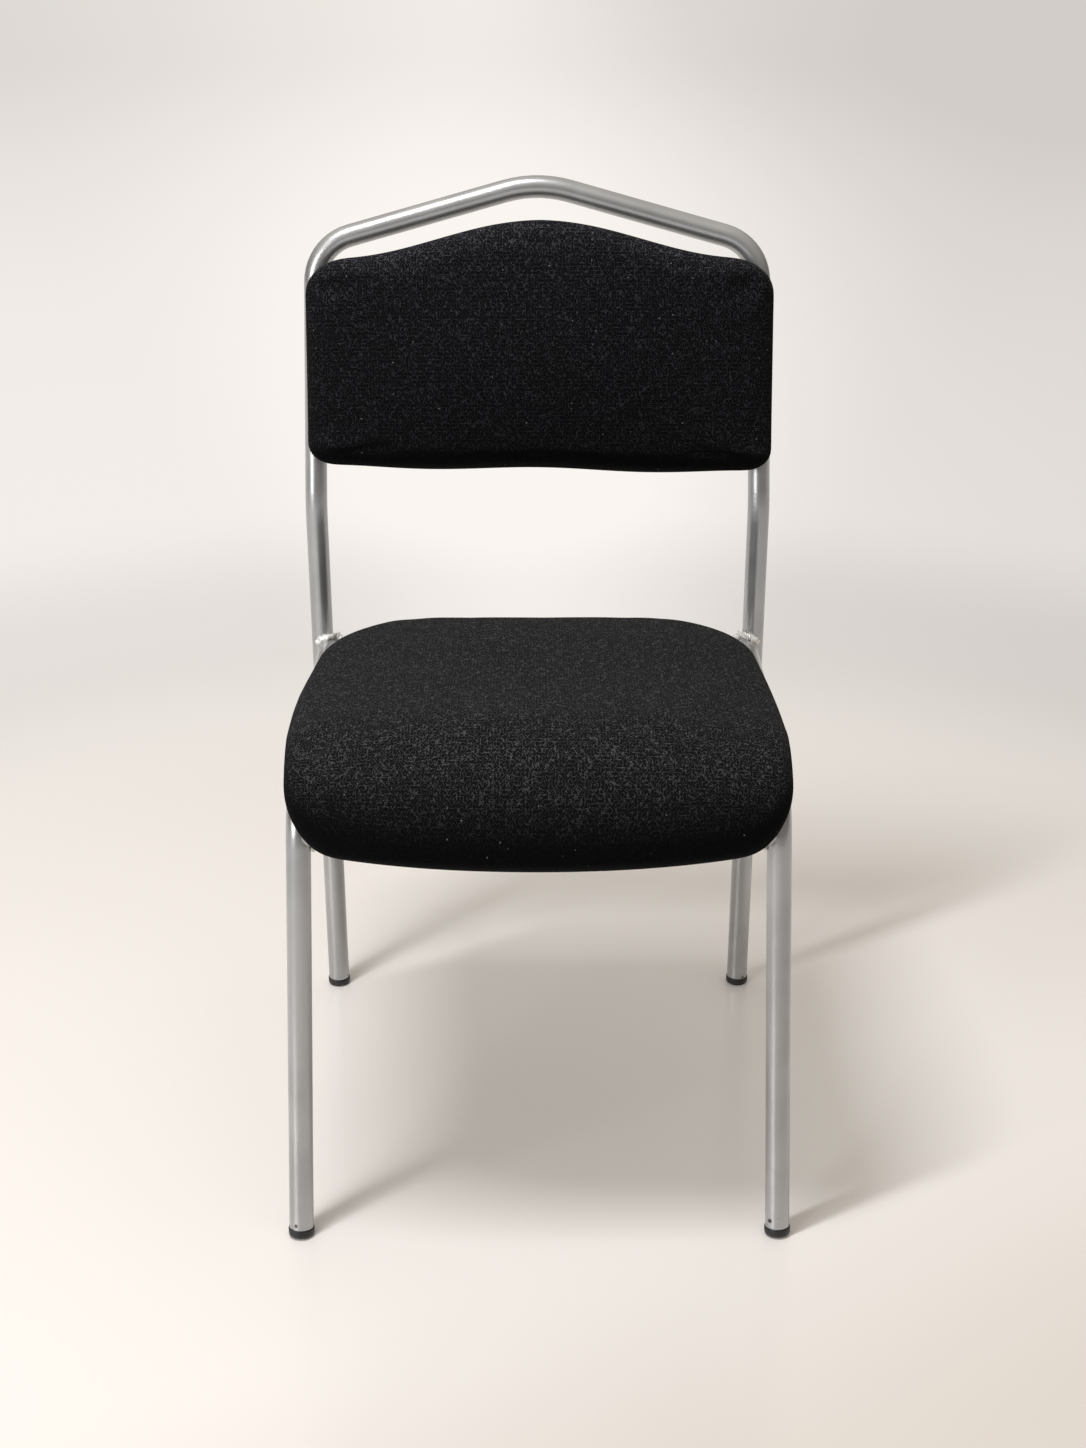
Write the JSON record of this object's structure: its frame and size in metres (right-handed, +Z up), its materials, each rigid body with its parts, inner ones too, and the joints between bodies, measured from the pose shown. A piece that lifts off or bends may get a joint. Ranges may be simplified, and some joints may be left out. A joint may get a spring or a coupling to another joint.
{
  "type": "choir chair",
  "caption": "Armless chair on a bent steel tube frame, with a padded waterfall seat and a padded back under a peaked top rail.",
  "frame": {"origin": "on the floor under the middle of the chair's width and depth", "axes": "+X to the sitter's left, seen from the front to the right; -Y the way the chair faces; +Z up"},
  "size_m": [0.4708, 0.5528, 0.8715],
  "materials": {
    "frame_paint": "satin grey powder coat",
    "weld_paint": "satin grey powder coat over weld",
    "cap_plastic": "moulded black plastic",
    "cover_fabric": "coarse woven, near black",
    "foam": "cut polyurethane foam",
    "plywood": "moulded plywood, unfinished",
    "lining": "thin black non-woven lining",
    "panel_board": "black hardboard panel"
  },
  "bodies": {
    "root": {"back_frame_tube": "frame_paint", "left_leg_and_rail": "frame_paint", "right_leg_and_rail": "frame_paint", "front_cross_rail": "frame_paint", "rear_cross_rail": "frame_paint", "rail_weld_beads": "weld_paint", "front_cross_rail_weld_beads": "weld_paint", "rear_cross_rail_weld_beads": "weld_paint", "front_foot_caps": "cap_plastic", "rear_foot_caps": "cap_plastic", "seat_tabs": "frame_paint", "back_tabs": "frame_paint", "seat_board": "plywood", "seat_foam": "foam", "seat_cover": "cover_fabric", "seat_dust_cover": "lining", "back_board": "plywood", "back_foam": "foam", "back_cover": "cover_fabric", "back_rear_panel": "panel_board"}
  },
  "joints": []
}
